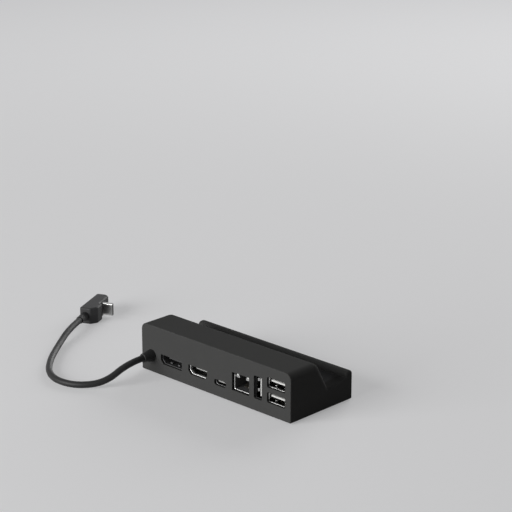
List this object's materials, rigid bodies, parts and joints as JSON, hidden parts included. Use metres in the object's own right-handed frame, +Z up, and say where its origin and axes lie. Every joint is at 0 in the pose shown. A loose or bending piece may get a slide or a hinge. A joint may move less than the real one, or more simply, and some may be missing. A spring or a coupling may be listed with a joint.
{
  "type": "handheld console dock",
  "caption": "Low desk dock with a slanted cradle for a handheld console, a row of video, power, network and data sockets at the back and a tail lead with a right-angle plug.",
  "frame": {"origin": "on the table, under the middle of the housing", "axes": "+X along the housing, to the right of someone who looks at the port face; -Y is the port face; +Z is up"},
  "size_m": [0.2114, 0.1023, 0.029],
  "materials": {
    "charcoal_shell": "fine moulded grain, charcoal",
    "black_rubber": "soft matt rubber",
    "cord_jacket": "satin black jacket",
    "connector_plastic": "satin moulded plastic, charcoal",
    "socket_steel": "bright plated sheet",
    "dark_steel": "black plated sheet",
    "socket_plastic": "black socket moulding",
    "pale_plastic": "pale socket moulding",
    "contact_gold": "gold-plated contact",
    "light_window": "clear light pipe",
    "board_green": "solder mask",
    "chip_black": "moulded chip",
    "ferrite": "pressed ferrite",
    "can_aluminium": "bare can",
    "screw_steel": "plated screw",
    "base_plastic": "moulded base, charcoal"
  },
  "bodies": {
    "root": {"housing": "charcoal_shell", "base_plate": "base_plastic", "foot_pad": "black_rubber", "cradle_liner": "black_rubber", "case_screws": "screw_steel", "board_screws": "screw_steel", "main_board": "board_green", "video_chip": "chip_black", "hub_chip": "chip_black", "power_chip": "chip_black", "network_chip": "chip_black", "power_inductors": "ferrite", "capacitors": "can_aluminium", "cord_header": "pale_plastic", "cord_tail": "cord_jacket", "wide_video_sleeve": "dark_steel", "wide_video_tongue": "socket_plastic", "wide_video_contacts": "contact_gold", "video_sleeve": "socket_steel", "video_tongue": "pale_plastic", "video_contacts": "contact_gold", "power_sleeve": "socket_steel", "power_tongue": "pale_plastic", "power_contacts": "contact_gold", "data_upright_sleeve": "socket_steel", "data_upright_tongue": "pale_plastic", "data_upright_contacts": "contact_gold", "data_pair_sleeve": "socket_steel", "data_pair_tongues": "pale_plastic", "data_pair_contacts": "contact_gold", "network_shield": "socket_steel", "network_insert": "socket_plastic", "network_lights": "light_window", "network_contacts": "contact_gold", "cable_gland": "cord_jacket", "cord": "cord_jacket", "plug_collar": "cord_jacket", "plug_body": "connector_plastic", "plug_sleeve": "socket_steel", "plug_core": "socket_plastic"}
  },
  "joints": []
}
